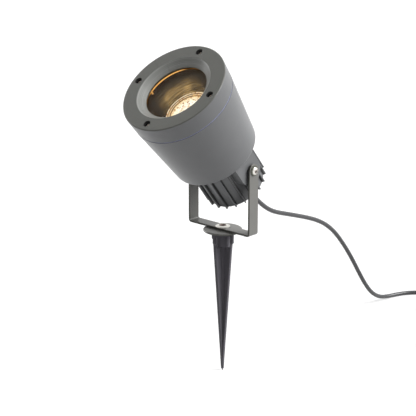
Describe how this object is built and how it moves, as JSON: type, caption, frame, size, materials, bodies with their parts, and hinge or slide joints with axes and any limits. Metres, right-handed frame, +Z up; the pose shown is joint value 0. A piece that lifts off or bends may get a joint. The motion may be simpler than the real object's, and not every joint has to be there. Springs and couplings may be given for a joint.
{
  "type": "garden spike spotlight",
  "caption": "Adjustable garden spotlight: cast finned head with bevelled front ring and reflector lamp, tilting in a flat steel yoke that swivels on a ground spike, with a low-voltage cable.",
  "frame": {"origin": "on the spike's axis at the underside of the seat disc, which rests on the soil", "axes": "+Z up, -Y the way the light points, +X towards the right yoke arm as seen from the front of the picture"},
  "size_m": [0.184, 0.4573, 0.3446],
  "materials": {
    "spike_plastic": "moulded, matte dark grey",
    "insert_brass": "turned",
    "yoke_paint": "textured powder coat over steel",
    "casting_paint": "cast aluminium, fine textured powder coat",
    "screw_steel": "stainless, machined",
    "washer_zinc": "black zinc",
    "bar_steel": "zinc plated",
    "tube_aluminium": "drawn, bronze anodised",
    "clear_glass": "toughened, ground edge",
    "silicone_amber": "moulded silicone",
    "silicone_black": "moulded silicone",
    "lamp_ceramic": "matte",
    "lamp_trim": "bright trim ring",
    "lamp_glow": "prismatic lens, lit warm white",
    "holder_ceramic": "glazed",
    "block_nylon": "moulded",
    "lead_sleeve": "glass fibre sleeve",
    "core_insulation": "extruded",
    "black_nylon": "moulded",
    "boot_rubber": "moulded",
    "cable_jacket": "extruded, satin grey",
    "plug_rubber": "moulded over the contacts"
  },
  "bodies": {
    "stake": {"spike": "spike_plastic", "spike_insert": "insert_brass", "seat_disc": "yoke_paint", "base_washer": "black_nylon", "base_screw": "screw_steel"},
    "yoke": {"yoke": "yoke_paint", "lead": "cable_jacket", "cord_coil": "cable_jacket", "coil_tie": "black_nylon", "plug_tail": "cable_jacket", "plug_body": "plug_rubber", "plug_pins": "insert_brass", "plug_seal": "silicone_amber"},
    "head": {"housing": "casting_paint", "seam_seal": "silicone_black", "front_ring": "casting_paint", "ring_screws": "screw_steel", "glass": "clear_glass", "glass_seals": "silicone_amber", "glare_tube": "tube_aluminium", "lamp_body": "lamp_ceramic", "lamp_bezel": "lamp_trim", "lamp_lens": "lamp_glow", "lamp_pins": "screw_steel", "lamp_holder": "holder_ceramic", "holder_screws": "screw_steel", "holder_bracket": "bar_steel", "bracket_screws": "screw_steel", "terminal_block": "block_nylon", "terminal_screws": "insert_brass", "block_screw": "screw_steel", "holder_leads": "lead_sleeve", "supply_cores": "core_insulation", "gland_body": "black_nylon", "gland_nut": "black_nylon", "gland_seal": "silicone_black", "cable_boot": "boot_rubber", "cable_end": "cable_jacket", "pivot_screws": "screw_steel", "pivot_washers": "washer_zinc", "pivot_spacers": "black_nylon"}
  },
  "joints": [
    {"name": "swivel", "type": "hinge", "parent": "stake", "child": "yoke", "pos_m": [0, 0, 0], "axis": [0, 0, 1], "range_deg": [-175, 175]},
    {"name": "tilt", "type": "hinge", "parent": "yoke", "child": "head", "pos_m": [0, 0, 0.07], "axis": [-1, 0, 0], "range_deg": [-59, 28.7], "deforming": ["lead"]}
  ]
}
